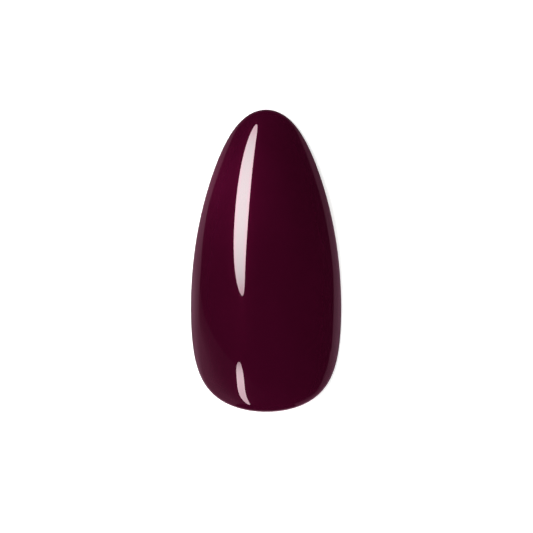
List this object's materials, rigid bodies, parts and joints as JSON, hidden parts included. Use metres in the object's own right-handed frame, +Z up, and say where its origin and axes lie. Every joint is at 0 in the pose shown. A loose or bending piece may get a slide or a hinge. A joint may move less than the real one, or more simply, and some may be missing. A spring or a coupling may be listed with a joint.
{
  "type": "false nail",
  "caption": "Almond-shaped false nail: a thin arched plastic shell, open and hollow underneath, under a glossy dark plum gel polish coat wrapped round its edge.",
  "frame": {"origin": "on the surface that the nail lies on, under the middle of its length and width", "axes": "+Z up, out of the arched side; +Y along the nail to the pointed free edge; +X across it"},
  "size_m": [0.013, 0.026, 0.0038],
  "materials": {
    "tip_plastic": "milky natural plastic, satin, with a finely frosted seat underneath",
    "plum_polish": "dark plum gel polish, wet-look high gloss"
  },
  "bodies": {
    "root": {"nail_tip": "tip_plastic", "polish_coat": "plum_polish"}
  },
  "joints": []
}
